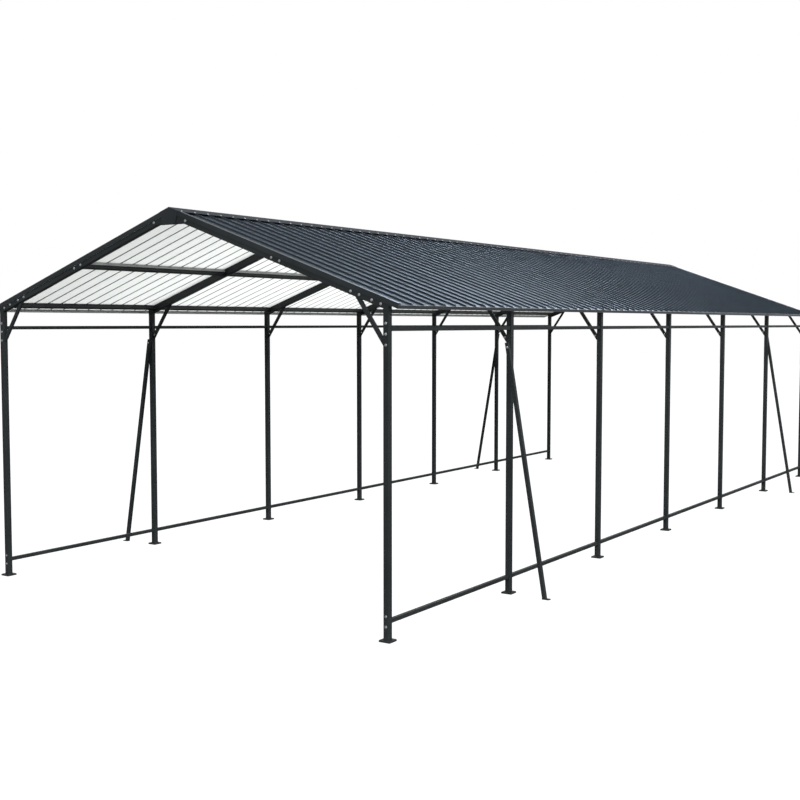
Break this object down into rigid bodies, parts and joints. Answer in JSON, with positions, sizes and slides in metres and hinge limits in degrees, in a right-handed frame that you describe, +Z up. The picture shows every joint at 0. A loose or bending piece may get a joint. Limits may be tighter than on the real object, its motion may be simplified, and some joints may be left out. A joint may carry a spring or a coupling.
{
  "type": "carport",
  "caption": "Open-sided steel carport with a ribbed gable roof on braced portal frames, side rails, outward stays and bolted base plates.",
  "frame": {"origin": "floor level in the middle of the plan, under the ridge", "axes": "+X across the carport to the right-hand side as seen from the front end, +Y along the ridge from the front end to the back end, +Z up"},
  "size_m": [5.43, 12.226, 3.5143],
  "materials": {
    "frame_coat": "satin anthracite powder coat",
    "trim_coat": "satin anthracite coil coat",
    "roof_coat": "satin anthracite coil coat, off-white underneath",
    "galvanised": "dull galvanised steel"
  },
  "bodies": {
    "root": {"post_1_right": "frame_coat", "post_1_left": "frame_coat", "rafters_1": "frame_coat", "post_2_right": "frame_coat", "post_2_left": "frame_coat", "rafters_2": "frame_coat", "post_3_right": "frame_coat", "post_3_left": "frame_coat", "rafters_3": "frame_coat", "post_4_right": "frame_coat", "post_4_left": "frame_coat", "rafters_4": "frame_coat", "post_5_right": "frame_coat", "post_5_left": "frame_coat", "rafters_5": "frame_coat", "post_6_right": "frame_coat", "post_6_left": "frame_coat", "rafters_6": "frame_coat", "post_7_right": "frame_coat", "post_7_left": "frame_coat", "rafters_7": "frame_coat", "base_plates_right": "frame_coat", "base_plates_left": "frame_coat", "knee_braces_right": "frame_coat", "knee_braces_left": "frame_coat", "upper_rails_right": "frame_coat", "upper_rails_left": "frame_coat", "bottom_rails_right": "frame_coat", "bottom_rails_left": "frame_coat", "mid_purlins_right": "frame_coat", "mid_purlins_left": "frame_coat", "eave_purlins_right": "frame_coat", "eave_purlins_left": "frame_coat", "stays_right": "frame_coat", "stays_left": "frame_coat", "stay_feet_right": "frame_coat", "stay_feet_left": "frame_coat", "purlin_seat_strips_right": "galvanised", "roof_sheets_right": "roof_coat", "verge_trims_right": "trim_coat", "eave_trim_right": "trim_coat", "purlin_seat_strips_left": "galvanised", "roof_sheets_left": "roof_coat", "verge_trims_left": "trim_coat", "eave_trim_left": "trim_coat", "apex_plates": "frame_coat", "ridge_cap": "roof_coat", "ridge_end_plates": "trim_coat"}
  },
  "joints": []
}
